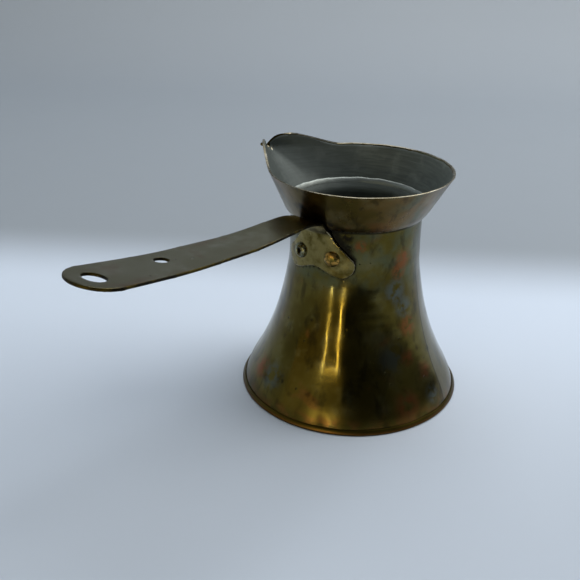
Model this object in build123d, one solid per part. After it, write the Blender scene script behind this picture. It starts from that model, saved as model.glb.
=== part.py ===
from build123d import *
import math
import os

# Long-handled coffee pot of thin sheet brass, tinned inside: a waisted bell on a base pan, a soldered
# funnel collar drawn out into a pouring lip, and a flat strap handle riveted to the neck.
# The origin is the centre of the face it stands on. +Z is up, +X runs along the handle, and the
# pouring lip points to -Y. All sizes are in millimetres.

# Base pan: a flat disc with a low flange turned up round the outside of the wall
PAN_RADIUS = 50.3            # where the flange and the floor would meet if the edge were sharp
PAN_HEIGHT = 2.4             # top of the flange
PAN_TOP_RADIUS = 49.15       # outside the flange there, where it is beaten thin
PAN_SHEET = 0.8
PAN_EDGE_RADIUS = 0.6

# Body wall: (radius, height) of its outside, from the foot to the straight neck
NECK_RADIUS = 28.4
WALL_OUTLINE = [
    (49.2, 0.0),
    (46.8, 7.0),
    (42.1, 16.0),
    (36.8, 28.0),
    (32.4, 42.0),
    (29.6, 56.0),
    (NECK_RADIUS, 76.0),
]
FOOT_DIRECTION = (-0.3, 1.0)
WALL_SHEET = 0.9

# Collar: an open cone, its lower edge splayed and lapped over the flared end of the neck
COLLAR_SHEET = 0.8
COLLAR_BOTTOM = 83.8
COLLAR_BOTTOM_RADIUS = 29.55
LAP_TOP = 86.0               # up to here the collar stays centred on the neck
LAP_RADIUS = 31.15
RIM_HEIGHT = 102.4
RIM_RADIUS = 39.45
RIM_SHIFT = 1.4              # the rim's centre stands this far behind the pot's axis
LAP_ANGLE = math.atan((LAP_RADIUS - COLLAR_BOTTOM_RADIUS) / (LAP_TOP - COLLAR_BOTTOM))
CONE_ANGLE = math.atan((RIM_RADIUS - LAP_RADIUS) / (RIM_HEIGHT - LAP_TOP))
STOCK_TOP = 109.0            # height of the uncut sheet at the lip
TIP_REACH = 51.4             # from the pot's axis to the tip of the lip, at rim height
STOCK_TIP_REACH = 52.8
TIP_BEAD_RADIUS = 1.0
TIP_BEAD_REACH = 52.4

# Rim line over the lip, seen from the side: (reach towards the lip, height)
LIP_LINE = [
    (27.0, RIM_HEIGHT),
    (31.5, 103.4),
    (36.0, 105.0),
    (41.0, 106.9),
    (45.0, 107.7),
    (48.2, 106.7),
    (50.2, 104.0),
    (TIP_REACH + 0.3, RIM_HEIGHT),
]

# Flared end of the neck, and the solder that closes the laps
FLARE_END = 85.6
NECK_SOLDER_TOP = 87.0
BASE_SOLDER_TOP = 2.7
BASE_SOLDER_LEAN = 1.0

# Tin wiped over the inside
TIN = 0.2
FLOOR_TIN_RADIUS = 46.0      # it stops at the base solder's inner edge

# Handle strap: (reach from the pot's axis, height) of its upper face
STRAP_SHEET = 1.1
STRAP_LINE = [
    (NECK_RADIUS, 79.0),
    (NECK_RADIUS, 81.6),
    (32.4, 87.9),
    (41.0, 90.0),
    (70.0, 90.0),
    (108.0, 93.6),
    (146.4, 99.9),
]
STRAP_BENDS = [3.0, 5.0, 30.0, 200.0, 300.0]  # radius of each bend between the runs above
STRAP_SKEW = -2.3            # the strap leaves the neck slightly towards the lip's side, in degrees
STRAP_HALF_WIDTH_AT_AXIS = 5.6  # where its sides, run on, would pass the pot's axis
STRAP_HALF_WIDTH_AT_TIP = 12.1
TIP_ROUNDING_LENGTH = 10.2   # the end is half an oval, this far from its centre to the tip
EYE_FROM_TIP = 8.5
EYE_LENGTH = 6.4
EYE_WIDTH = 10.0
PEG_HOLE_FROM_TIP = 38.4
PEG_HOLE_RADIUS = 2.6
PEG_HOLE_SIDE = -2.85        # the small hole is off the middle line, on the lip's side

# Fishtail plate of the strap, wrapped on the neck: (half width round the neck, height)
FISHTAIL = [
    (6.9, 84.0),
    (7.7, 81.0),
    (10.0, 77.5),
    (13.8, 73.8),
    (16.9, 70.3),
    (16.4, 66.3),
    (12.6, 63.5),
    (7.8, 64.1),
    (0.0, 66.7),
]

# Rivets
RIVET_ANGLES = (15.0, -16.0)  # each side of the handle's middle plane
RIVET_HEIGHT = 71.5
RIVET_SHANK_RADIUS = 1.9
RIVET_HEAD_RADIUS = 3.3
RIVET_HEAD_DEPTH = 1.9
RIVET_INNER_RADIUS = 3.0
RIVET_INNER_DEPTH = 1.0
RIVET_EYE_RADIUS = 1.15
RIVET_EYE_DEPTH = 2.4
RIVET_HEAD_EDGE = 0.45       # thickness of a head at its edge
RIVET_SINK = 0.4             # how far the heads' skirts reach down before they are fitted to the sheet

FAR = 200.0                  # larger than anything in the model
LINE_STEPS = 24


def moved_line(line, distance):
    """A line moved sideways by distance, to the right of its own direction."""
    points = []
    for step in range(LINE_STEPS + 1):
        place = line @ (step / LINE_STEPS)
        along = line % (step / LINE_STEPS)
        points.append((place.X + distance * along.Y, place.Y - distance * along.X))
    return Spline(*points)


def turned(outline):
    """Solid of revolution of a closed outline drawn as (radius, height)."""
    return revolve(Plane.XZ * make_face(outline), Axis.Z)


def slab(bottom, top):
    """Everything between two heights."""
    return Pos(0, 0, (bottom + top) / 2) * Box(2 * FAR, 2 * FAR, top - bottom)


def pot_core(offset, bottom, top):
    """Filled inside of the bell, its outside moved outward by offset, between two heights."""
    wall = Spline(*WALL_OUTLINE, tangents=[FOOT_DIRECTION, (0, 1)])
    side = moved_line(wall, offset)
    foot = side @ 0
    neck = side @ 1
    rest = Polyline((neck.X, neck.Y), (neck.X, COLLAR_BOTTOM), (0, COLLAR_BOTTOM), (0, foot.Y), (foot.X, foot.Y))
    return turned(side + rest) & slab(bottom, top)


def inset_steps(inset):
    """How far in, on the level, a face moves at the collar's lower edge, lap top and rim for one inset."""
    lap = inset / math.cos(LAP_ANGLE)
    rim = inset / math.cos(CONE_ANGLE)
    return lap, (lap + rim) / 2, rim


def lap_face():
    """Inside of the collar along the lap: its radius at the collar's lower edge, and its slope."""
    lower_step, lap_step, _ = inset_steps(COLLAR_SHEET)
    lower = COLLAR_BOTTOM_RADIUS - lower_step
    slope = (LAP_RADIUS - lap_step - lower) / (LAP_TOP - COLLAR_BOTTOM)
    return lower, slope


def flare_end(offset):
    """End of the neck's flare, moved outward by offset, as (radius, height)."""
    lower, slope = lap_face()
    angle = math.atan(slope)
    radius = lower + (FLARE_END - COLLAR_BOTTOM) * slope
    return radius + offset * math.cos(angle), FLARE_END - offset * math.sin(angle)


def neck_end(outside, inside, bottom):
    """Ring of the neck and its flare, between two distances from the brass's outside face."""
    lower, slope = lap_face()
    bend_height = COLLAR_BOTTOM - (lower - NECK_RADIUS) / slope
    lines = []
    for offset in (outside, inside):
        bend = (NECK_RADIUS + offset, bend_height - offset * math.tan(math.atan(slope) / 2))
        lines.append([(NECK_RADIUS + offset, bottom), bend, flare_end(offset)])
    face = make_face(Polyline(*lines[0], *reversed(lines[1]), close=True))
    for offset, points in zip((outside, inside), lines):
        if offset < 0:
            corner = face.vertices().sort_by_distance(points[1])[0]
            face = fillet(corner, -offset)
    return revolve(Plane.XZ * face, Axis.Z)


def collar_section(height, radius, shift, tip):
    """Closed outline of the collar at one height. A tip of None gives a plain circle."""
    if tip is None:
        meet = math.acos(RIM_RADIUS / (TIP_REACH + RIM_SHIFT))
    else:
        meet = math.acos(radius / (tip + shift))
    right = (radius * math.sin(meet), shift - radius * math.cos(meet), height)
    left = (-right[0], right[1], height)
    back = ThreePointArc(right, (0, shift + radius, height), left)
    if tip is not None:
        point = (0, -tip, height)
        return Wire([back, Line(left, point), Line(point, right)])
    front = (0, shift - radius, height)
    middle = (radius * math.sin(meet / 2), shift - radius * math.cos(meet / 2), height)
    opposite = (-middle[0], middle[1], height)
    return Wire([back, ThreePointArc(left, opposite, front), ThreePointArc(front, middle, right)])


def collar_core(inset):
    """Filled collar and lip, its faces moved inward by inset, with the lip still uncut."""
    lower_step, lap_step, rim_step = inset_steps(inset)
    tip_step = rim_step / (RIM_RADIUS / (TIP_REACH + RIM_SHIFT))
    stock_radius = RIM_RADIUS + (STOCK_TOP - RIM_HEIGHT) * math.tan(CONE_ANGLE)
    stock_shift = RIM_SHIFT * (STOCK_TOP - LAP_TOP) / (RIM_HEIGHT - LAP_TOP)
    sections = [
        collar_section(COLLAR_BOTTOM, COLLAR_BOTTOM_RADIUS - lower_step, 0, None),
        collar_section(LAP_TOP, LAP_RADIUS - lap_step, 0, None),
        collar_section(RIM_HEIGHT, RIM_RADIUS - rim_step, RIM_SHIFT, TIP_REACH - tip_step),
        collar_section(STOCK_TOP, stock_radius - rim_step, stock_shift, STOCK_TIP_REACH - tip_step),
    ]
    return Solid.make_loft(sections, ruled=True)


def above_rim():
    """Everything above the rim: level round the back, rising over the cheeks and dropping to the tip."""
    lip = Spline(*[(-reach, height) for reach, height in LIP_LINE], tangents=[(-1, 0), (-0.4, -1)])
    back = Polyline(
        (-FAR, RIM_HEIGHT),
        (-FAR, FAR),
        (FAR, FAR),
        (FAR, RIM_HEIGHT),
        (-LIP_LINE[0][0], RIM_HEIGHT),
    )
    front = Line((-LIP_LINE[-1][0], RIM_HEIGHT), (-FAR, RIM_HEIGHT))
    return extrude(Plane.YZ * make_face([*lip.edges(), *back.edges(), *front.edges()]), FAR, both=True)


def make_body_shell():
    """Waisted bell wall, open at both ends, with its top edge flared into the collar."""
    wall = pot_core(0, PAN_SHEET, 80.0) - pot_core(-WALL_SHEET, 0, 80.0)
    shell = wall + neck_end(0, -WALL_SHEET, 80.0)
    for angle in RIVET_ANGLES:
        shell -= rivet_hole(angle)
    return shell


def make_base_pan():
    """Flat bottom with its flange lapped round the outside of the foot."""
    outline = Polyline((0, 0), (PAN_RADIUS, 0), (PAN_TOP_RADIUS, PAN_HEIGHT), (0, PAN_HEIGHT), close=True)
    pan = turned(outline)
    pan = fillet(pan.edges().sort_by(Axis.Z)[0], PAN_EDGE_RADIUS)
    return pan - pot_core(0, PAN_SHEET, 2 * PAN_HEIGHT)


def make_collar():
    """Funnel collar with the pouring lip and the small bead pinched up at its tip."""
    shell = collar_core(0) - collar_core(COLLAR_SHEET) - above_rim()
    bead = Pos(0, -TIP_BEAD_REACH, RIM_HEIGHT + TIP_BEAD_RADIUS / 2) * Sphere(TIP_BEAD_RADIUS)
    return shell + bead


def make_neck_solder():
    """Fillet that closes the step between the neck's flared edge and the collar's inside."""
    lower, slope = lap_face()
    wide = lower + (NECK_SOLDER_TOP - COLLAR_BOTTOM) * slope
    upper = (LAP_RADIUS - COLLAR_SHEET, NECK_SOLDER_TOP)
    ring = turned(Polyline(flare_end(0), (wide, NECK_SOLDER_TOP), upper, flare_end(-WALL_SHEET), close=True))
    return ring & collar_core(COLLAR_SHEET)


def make_base_solder():
    """Fillet in the corner between the wall and the pan's floor."""
    outline = Polyline(
        (FLOOR_TIN_RADIUS, PAN_SHEET),
        (PAN_RADIUS, PAN_SHEET),
        (PAN_RADIUS, BASE_SOLDER_TOP),
        (FLOOR_TIN_RADIUS + BASE_SOLDER_LEAN, BASE_SOLDER_TOP),
        close=True,
    )
    return turned(outline) & pot_core(-WALL_SHEET, PAN_SHEET, BASE_SOLDER_TOP)


def make_rivet(angle, eyelet):
    """Rivet with a domed head outside and a flatter one inside. An eyelet has an open end outside."""
    outside = NECK_RADIUS + STRAP_SHEET
    inside = NECK_RADIUS - WALL_SHEET
    shank = Rot(0, 90, 0) * Cylinder(RIVET_SHANK_RADIUS, outside - inside + 2 * RIVET_SINK)
    outer_head = Pos(outside, 0, 0) * Rot(0, 90, 0) * dome(RIVET_HEAD_RADIUS, RIVET_HEAD_DEPTH)
    inner_head = Pos(inside, 0, 0) * Rot(0, -90, 0) * dome(RIVET_INNER_RADIUS, RIVET_INNER_DEPTH)
    lower = Pos(0, 0, -RIVET_HEIGHT)
    outer_head -= lower * pot_core(STRAP_SHEET, 0, COLLAR_BOTTOM)
    inner_head &= lower * pot_core(-WALL_SHEET, 0, COLLAR_BOTTOM)
    rivet = outer_head + Pos((outside + inside) / 2, 0, 0) * shank + inner_head
    if eyelet:
        mouth = outside + RIVET_HEAD_DEPTH - RIVET_EYE_DEPTH / 2
        rivet -= Pos(mouth, 0, 0) * Rot(0, 90, 0) * Cylinder(RIVET_EYE_RADIUS, RIVET_EYE_DEPTH)
    return Rot(0, 0, angle) * Pos(0, 0, RIVET_HEIGHT) * rivet


def rivet_hole(angle):
    """Drill that runs out from the pot's axis through the neck and the fishtail plate."""
    drill = Rot(0, 90, 0) * Cylinder(RIVET_SHANK_RADIUS, 2 * NECK_RADIUS)
    return Rot(0, 0, angle) * Pos(NECK_RADIUS, 0, RIVET_HEIGHT) * drill


def dome(radius, depth):
    """Round head standing on the local XY plane, with a skirt that reaches below it."""
    crown = depth - RIVET_HEAD_EDGE
    ball = (radius ** 2 + crown ** 2) / (2 * crown)
    blank = Pos(0, 0, (depth - RIVET_SINK) / 2) * Cylinder(radius, depth + RIVET_SINK)
    return blank & Pos(0, 0, depth - ball) * Sphere(ball)


def make_strap():
    """Strap and fishtail plate cut from one sheet, with its two rivet holes, eye and peg hole."""
    upper = FilletPolyline(*STRAP_LINE, radius=STRAP_BENDS)
    profile = make_face(offset(upper, STRAP_SHEET, side=Side.RIGHT, closed=True))
    bar = extrude(Plane.XZ * profile, STRAP_HALF_WIDTH_AT_TIP + 1, both=True) & strap_plan()
    eye = extrude(Ellipse(EYE_LENGTH / 2, EYE_WIDTH / 2), 3 * STRAP_SHEET, both=True)
    peg = Pos(0, PEG_HOLE_SIDE, 0) * Cylinder(PEG_HOLE_RADIUS, 6 * STRAP_SHEET)
    bar -= on_strap(upper, EYE_FROM_TIP) * eye
    bar -= on_strap(upper, PEG_HOLE_FROM_TIP) * peg
    strap = Rot(0, 0, STRAP_SKEW) * bar + fishtail_plate()
    strap -= pot_core(0, 0, COLLAR_BOTTOM)
    strap -= neck_end(0, -WALL_SHEET, 80.0)
    strap -= collar_core(0)
    for angle in RIVET_ANGLES:
        strap -= rivet_hole(angle)
    return strap


def on_strap(upper, from_tip):
    """Plane that lies on the strap's upper face, at a distance from its tip."""
    distance = upper.length - from_tip
    place = upper.position_at(distance, position_mode=PositionMode.LENGTH)
    along = upper.tangent_at(distance, position_mode=PositionMode.LENGTH)
    return Plane(
        origin=(place.X, 0, place.Y),
        x_dir=(along.X, 0, along.Y),
        z_dir=(-along.Y, 0, along.X),
    )


def strap_plan():
    """Outline of the strap from above, as a tall block: widening to a rounded end."""
    tip = STRAP_LINE[-1][0] + 0.2
    shoulder = tip - TIP_ROUNDING_LENGTH
    end = EllipticalCenterArc((shoulder, 0), TIP_ROUNDING_LENGTH, STRAP_HALF_WIDTH_AT_TIP, -90, arc_size=180)
    sides = Polyline(
        (shoulder, STRAP_HALF_WIDTH_AT_TIP),
        (0, STRAP_HALF_WIDTH_AT_AXIS),
        (0, -STRAP_HALF_WIDTH_AT_AXIS),
        (shoulder, -STRAP_HALF_WIDTH_AT_TIP),
    )
    return extrude(make_face(end + sides), FAR, both=True)


def fishtail_plate():
    """Plate that hugs the neck below the strap, spread into two rounded lobes."""
    radius = NECK_RADIUS + STRAP_SHEET
    left = [(radius * math.sin(-width / radius), height) for width, height in FISHTAIL]
    right = [(-side, height) for side, height in reversed(left[:-1])]
    outline = Spline(*left, *right) + Line(right[-1], left[0])
    stamp = Pos(radius, 0, 0) * extrude(Plane.YZ * make_face(outline), radius / 2, both=True)
    hug = pot_core(STRAP_SHEET, 0, COLLAR_BOTTOM) - pot_core(0, 0, COLLAR_BOTTOM)
    return hug & stamp


def make_tin_floor():
    """Tin on the pan's floor, inside the solder."""
    return Pos(0, 0, PAN_SHEET + TIN / 2) * Cylinder(FLOOR_TIN_RADIUS, TIN)


def make_tin_bowl():
    """Tin on the inside of the bell and of the neck's flare."""
    face = pot_core(-WALL_SHEET, BASE_SOLDER_TOP, 80.0)
    skin = face - pot_core(-WALL_SHEET - TIN, 0, 80.0)
    skin += neck_end(-WALL_SHEET, -WALL_SHEET - TIN, 80.0)
    for angle in RIVET_ANGLES:
        drill = Rot(0, 90, 0) * Cylinder(RIVET_INNER_RADIUS, 2 * NECK_RADIUS)
        skin -= Rot(0, 0, angle) * Pos(NECK_RADIUS, 0, RIVET_HEIGHT) * drill
    return skin


def make_tin_collar():
    """Tin on the inside of the collar and its lip, above the neck's solder."""
    skin = collar_core(COLLAR_SHEET) - collar_core(COLLAR_SHEET + TIN) - above_rim()
    return skin & slab(NECK_SOLDER_TOP, FAR)


def main():
    parts = {
        "body_shell": make_body_shell(),
        "base_pan": make_base_pan(),
        "collar": make_collar(),
        "handle_strap": make_strap(),
        "rivet_domed": make_rivet(RIVET_ANGLES[0], False),
        "rivet_eyelet": make_rivet(RIVET_ANGLES[1], True),
        "neck_solder": make_neck_solder(),
        "base_solder": make_base_solder(),
        "tin_lining_floor": make_tin_floor(),
        "tin_lining_bowl": make_tin_bowl(),
        "tin_lining_collar": make_tin_collar(),
    }
    os.makedirs("parts", exist_ok=True)
    for name, part in parts.items():
        export_step(part, f"parts/{name}.step")
        size = part.bounding_box().size
        print(f"{name}: {len(part.solids())} solid(s), {size.X:.1f} x {size.Y:.1f} x {size.Z:.1f} mm")


main()
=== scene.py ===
import math

import bmesh
import bpy
from mathutils import Matrix, Vector, geometry, noise
from mathutils.bvhtree import BVHTree


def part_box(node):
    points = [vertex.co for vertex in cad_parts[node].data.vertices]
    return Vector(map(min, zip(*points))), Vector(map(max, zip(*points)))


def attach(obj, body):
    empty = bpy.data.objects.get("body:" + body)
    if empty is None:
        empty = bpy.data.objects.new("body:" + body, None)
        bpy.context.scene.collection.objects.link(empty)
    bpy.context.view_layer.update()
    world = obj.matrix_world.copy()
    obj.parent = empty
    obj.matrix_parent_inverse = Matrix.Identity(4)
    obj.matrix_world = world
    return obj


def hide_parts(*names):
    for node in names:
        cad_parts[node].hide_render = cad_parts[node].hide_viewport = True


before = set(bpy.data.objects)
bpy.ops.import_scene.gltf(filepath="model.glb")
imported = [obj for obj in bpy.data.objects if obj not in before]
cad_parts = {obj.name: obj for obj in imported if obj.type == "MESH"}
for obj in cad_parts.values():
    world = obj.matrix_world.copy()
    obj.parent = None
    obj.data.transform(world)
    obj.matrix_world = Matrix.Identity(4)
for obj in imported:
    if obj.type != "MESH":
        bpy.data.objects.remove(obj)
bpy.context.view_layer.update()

# noise_vector, which lumps the rivets, starts from the clock unless it is given a seed.
noise.seed_set(11)

# Coffee pot of beaten sheet brass, tinned inside. Metres throughout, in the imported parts' own frame:
# the pot stands on Z = 0, its axis is the Z axis, the handle runs along +X and the lip points to -Y.
MM = 0.001
UP = Vector((0, 0, 1))
LIP_ANGLE = -math.pi / 2
CAMERA_SIDE = math.radians(32.5)
BEYOND_POT = 90 * MM
PLAIN_SIDE = math.radians(-120)  # away from the lip, the handle and the rivets
NECK_RADIUS = 29 * MM
LIP_TIP_HEIGHT = 102.9 * MM
TIN_SHEET = 0.2 * MM
RIVET_LENGTH = 4.9 * MM
RIVET_HEAD_RISE = 1.9 * MM
RIVET_THROUGH = 2.0 * MM  # bell wall and fishtail together
COLLAR_LAP_TOP = 86 * MM

# Handle, as it is bent in the workshop: (reach from the axis, height) of the face towards the pot
STRAP_SHEET = 1.1 * MM
STRAP_CORNERS = [
    (28.4, 81.6),
    (32.4, 87.9),
    (41.0, 90.0),
    (70.0, 90.0),
    (108.0, 93.6),
    (146.4, 99.9),
]
STRAP_BENDS = [3.0, 5.0, 30.0, 200.0, 300.0]
STRAP_SKEW = math.radians(-2.3)
STRAP_HALF_WIDTH_AT_AXIS = 5.6 * MM
STRAP_HALF_WIDTH_AT_TIP = 12.1 * MM
STRAP_SHOULDER = 136.4 * MM
TIP_ROUNDING = 10.2 * MM
# Fishtail: (half width round the neck, height)
FISHTAIL = [
    (0.0, 66.7),
    (7.8, 64.1),
    (12.6, 63.5),
    (16.4, 66.3),
    (16.9, 70.3),
    (13.8, 73.8),
    (10.0, 77.5),
    (7.7, 81.0),
    (6.9, 84.0),
]
# Holes in the handle: (distance from the tip, distance from the middle, half length, half width)
HANDLE_HOLES = [
    (8.5 * MM, 0, 3.2 * MM, 5.0 * MM),
    (38.4 * MM, -2.85 * MM, 2.6 * MM, 2.6 * MM),
]


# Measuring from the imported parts


def packed_skin(node):
    """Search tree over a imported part's faces, to measure where its surface lies."""
    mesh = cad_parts[node].data
    places = [vertex.co for vertex in mesh.vertices]
    return BVHTree.FromPolygons(places, [face.vertices for face in mesh.polygons])


def outward(angle):
    """Level direction away from the pot's axis."""
    return Vector((math.cos(angle), math.sin(angle), 0))


def outside_reach(skin, angle, height):
    """Distance from the pot's axis to a skin's outside, or None where the skin has ended."""
    start = BEYOND_POT * outward(angle) + height * UP
    hit = skin.ray_cast(start, -outward(angle), BEYOND_POT - 1 * MM)[0]
    return hit and hit.xy.length


def inside_reach(skin, angle, height):
    """Distance from the pot's axis to a skin's inside, or None where the skin has ended."""
    hit = skin.ray_cast(height * UP, outward(angle), BEYOND_POT)[0]
    return hit and hit.xy.length


def steps(start, end, count):
    """Evenly spaced values, both ends included."""
    return [start + (end - start) * number / count for number in range(count + 1)]


def eased(value, start, end):
    """Rises smoothly from 0 at start to 1 at end."""
    share = min(max((value - start) / (end - start), 0), 1)
    return share * share * (3 - 2 * share)


# Making meshes


def finished(name, bm, finishes, replaced):
    """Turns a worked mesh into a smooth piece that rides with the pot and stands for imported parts."""
    bmesh.ops.remove_doubles(bm, verts=bm.verts, dist=0.001 * MM)
    bmesh.ops.recalc_face_normals(bm, faces=bm.faces)
    mesh = bpy.data.meshes.new(name)
    bm.to_mesh(mesh)
    bm.free()
    mesh.shade_smooth()
    mesh.set_sharp_from_angle(angle=math.radians(52))
    for finish in finishes:
        mesh.materials.append(finish)
    piece = bpy.data.objects.new(name, mesh)
    bpy.context.scene.collection.objects.link(piece)
    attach(piece, "root")
    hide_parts(*replaced)
    return piece


def turned(outline, turns):
    """Mesh turned round the Z axis from an outline of (radius, height).

    The outline of a closed sheet ends where it began.
    """
    bm = bmesh.new()
    spots = [bm.verts.new((radius, 0, height)) for radius, height in outline]
    for one, other in zip(spots, spots[1:]):
        bm.edges.new((one, other))
    bmesh.ops.spin(
        bm,
        geom=bm.verts[:] + bm.edges[:],
        cent=(0, 0, 0),
        axis=(0, 0, 1),
        angle=2 * math.pi,
        steps=turns,
        use_merge=True,
    )
    bmesh.ops.remove_doubles(bm, verts=bm.verts, dist=0.001 * MM)
    return bm


def raised(columns, ring_places):
    """Mesh drawn up ring by ring: ring_places(angle) lists the places of one column, first to last."""
    bm = bmesh.new()
    bmesh.ops.create_circle(bm, segments=columns, radius=0.03)
    places = {}
    for number in range(columns):
        angle = LIP_ANGLE + 2 * math.pi * number / columns
        places[number] = ring_places(angle)
    ring_edges = bm.edges[:]
    ring_verts = {}
    for vert in bm.verts:
        turn = (math.atan2(vert.co.y, vert.co.x) - LIP_ANGLE) / (2 * math.pi)
        ring_verts[vert] = round(turn * columns) % columns
    for level in range(len(places[0])):
        if level:
            before = {vert.co.to_tuple(7): column for vert, column in ring_verts.items()}
            made = bmesh.ops.extrude_edge_only(bm, edges=ring_edges)["geom"]
            made_edges = [item for item in made if isinstance(item, bmesh.types.BMEdge)]
            ring_edges = [edge for edge in made_edges if edge.is_boundary]
            new_verts = [item for item in made if isinstance(item, bmesh.types.BMVert)]
            ring_verts = {vert: before[vert.co.to_tuple(7)] for vert in new_verts}
        for vert, column in ring_verts.items():
            vert.co = places[column][level]
    return bm


def unevenness(place, size, seed):
    """Soft unevenness from -1 to 1 of beaten sheet. Both faces of a wall get the same."""
    angle = math.atan2(place.y, place.x)
    spot = 0.04 * outward(angle) + place.z * UP
    return noise.noise(spot / size + Vector((seed, seed, seed)))


def beat(verts, depth, size, seed, strength=lambda place: 1):
    """Moves a wall in and out from the pot's axis, as hammer work leaves it."""
    for vert in verts:
        side = Vector((vert.co.x, vert.co.y, 0))
        if side.length > 5 * MM:
            amount = depth * unevenness(vert.co, size, seed) * strength(vert.co)
            vert.co += amount * side.normalized()


def beat_bell(verts):
    """The same hammer marks for the bell and the tin inside it, none at its two ends."""

    def strength(place):
        return eased(place.z, 2 * MM, 9 * MM) * eased(place.z, 84 * MM, 76 * MM)

    beat(verts, 0.10 * MM, 13 * MM, 3.0, strength)
    beat(verts, 0.025 * MM, 5 * MM, 9.0, strength)


def beat_collar(verts):
    """The same hammer marks for the collar and the tin inside it."""
    beat(verts, 0.14 * MM, 12 * MM, 12.0)
    beat(verts, 0.05 * MM, 4 * MM, 5.0)


# Finishes


class Finish:
    """A procedural material, with shortcuts for the nodes that the metals share."""

    def __init__(self, name):
        self.material = bpy.data.materials.new(name)
        self.material.use_nodes = True
        self.tree = self.material.node_tree
        self.surface = self.tree.nodes["Principled BSDF"]
        self.place = self.tree.nodes.new("ShaderNodeTexCoord").outputs["Object"]

    def node(self, kind, **settings):
        made = self.tree.nodes.new(kind)
        for name, value in settings.items():
            setattr(made, name, value)
        return made

    def join(self, value, socket):
        """Feeds a socket from another socket or with a plain value."""
        if isinstance(value, bpy.types.NodeSocket):
            self.tree.links.new(value, socket)
        else:
            socket.default_value = value

    def cloud(self, size, detail=3, rough=0.55, stretch=(1, 1, 1), twist=0):
        """Noise with features of about the given size, in metres, from 0 to 1."""
        turn = self.node("ShaderNodeMapping")
        self.join(self.place, turn.inputs["Vector"])
        turn.inputs["Scale"].default_value = [1 / (size * share) for share in stretch]
        texture = self.node("ShaderNodeTexNoise")
        self.join(turn.outputs["Vector"], texture.inputs["Vector"])
        texture.inputs["Scale"].default_value = 1
        texture.inputs["Detail"].default_value = detail
        texture.inputs["Roughness"].default_value = rough
        texture.inputs["Distortion"].default_value = twist
        return texture.outputs["Fac"]

    def pits(self, size, reach):
        """Small round pits: 1 in a pit, 0 between them."""
        texture = self.node("ShaderNodeTexVoronoi")
        self.join(self.place, texture.inputs["Vector"])
        texture.inputs["Scale"].default_value = 1 / size
        return self.between(texture.outputs["Distance"], reach, reach * 0.4)

    def between(self, value, low, high):
        """0 at low, 1 at high and beyond, smoothly."""
        made = self.node("ShaderNodeMapRange", interpolation_type="SMOOTHSTEP")
        self.join(value, made.inputs["Value"])
        made.inputs["From Min"].default_value = low
        made.inputs["From Max"].default_value = high
        return made.outputs["Result"]

    def reckoned(self, operation, one, other):
        """Result of a Math node, kept from 0 to 1."""
        made = self.node("ShaderNodeMath", operation=operation, use_clamp=True)
        self.join(one, made.inputs[0])
        self.join(other, made.inputs[1])
        return made.outputs["Value"]

    def times(self, one, other):
        return self.reckoned("MULTIPLY", one, other)

    def plus(self, one, other):
        return self.reckoned("ADD", one, other)

    def spot(self, centre, radius):
        """A ragged patch round a place, fading outwards from 1 to 0."""
        away = self.node("ShaderNodeVectorMath", operation="DISTANCE")
        self.join(self.place, away.inputs[0])
        away.inputs[1].default_value = centre
        near = self.between(away.outputs["Value"], radius * 1.5, radius * 0.3)
        ragged = self.between(self.cloud(radius * 0.8, 5, 0.65), 0.38, 0.55)
        return self.times(near, ragged)

    def mix(self, factor, one, other):
        """Colour one where factor is 0, the other where it is 1."""
        made = self.node("ShaderNodeMix", data_type="RGBA")
        self.join(factor, made.inputs["Factor"])
        self.join(one, made.inputs["A"])
        self.join(other, made.inputs["B"])
        return made.outputs["Result"]

    def spread(self, value, low, high):
        """A number that runs from low to high as value runs from 0 to 1."""
        made = self.node("ShaderNodeMapRange")
        self.join(value, made.inputs["Value"])
        made.inputs["To Min"].default_value = low
        made.inputs["To Max"].default_value = high
        return made.outputs["Result"]

    def axis(self, name):
        """One coordinate of the place on the piece."""
        split = self.node("ShaderNodeSeparateXYZ")
        self.join(self.place, split.inputs["Vector"])
        return split.outputs[name]

    def relief(self, *layers):
        """Fine relief from (height from 0 to 1, depth in metres) layers."""
        normal = None
        for height, depth in layers:
            bump = self.node("ShaderNodeBump")
            self.join(height, bump.inputs["Height"])
            bump.inputs["Distance"].default_value = depth
            bump.inputs["Strength"].default_value = 1
            if normal:
                self.join(normal, bump.inputs["Normal"])
            normal = bump.outputs["Normal"]
        self.join(normal, self.surface.inputs["Normal"])

    def set(self, colour, roughness, metallic):
        """Puts the finish on its surface and returns the material."""
        self.join(colour, self.surface.inputs["Base Color"])
        self.join(roughness, self.surface.inputs["Roughness"])
        self.join(metallic, self.surface.inputs["Metallic"])
        return self.material


def shade(red, green, blue):
    """Colour in linear light, opaque."""
    return (red, green, blue, 1)


OLIVE_DARK = shade(0.066, 0.048, 0.008)
OLIVE = shade(0.105, 0.083, 0.018)
OLIVE_PALE = shade(0.130, 0.114, 0.048)
HONEY = shade(0.130, 0.078, 0.022)
GOLD = shade(0.420, 0.240, 0.060)
COPPER = shade(0.170, 0.060, 0.018)
RUST = shade(0.160, 0.070, 0.020)
GREY_GREEN = shade(0.075, 0.088, 0.050)
GREY_BLUE = shade(0.080, 0.095, 0.085)
TAN = shade(0.150, 0.130, 0.080)
TIN_GREY = shade(0.140, 0.165, 0.148)
TIN_PALE = shade(0.240, 0.265, 0.242)
TIN_DARK = shade(0.088, 0.105, 0.094)
TIN_SHADOW = shade(0.045, 0.056, 0.050)
SOLDER_PALE = shade(0.360, 0.390, 0.360)
RUBBED_DARK = shade(0.200, 0.170, 0.100)
RUBBED_PALE = shade(0.360, 0.330, 0.250)
STRAP_BROWN = shade(0.170, 0.148, 0.070)
STRAP_GREY = shade(0.225, 0.205, 0.125)
STRAP_PALE = shade(0.290, 0.275, 0.195)
STRAP_GOLD_REFLECTION = shade(0.380, 0.270, 0.080)
TAIL_BROWN = shade(0.190, 0.155, 0.055)
RIVET_GREEN = shade(0.210, 0.220, 0.150)
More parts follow.
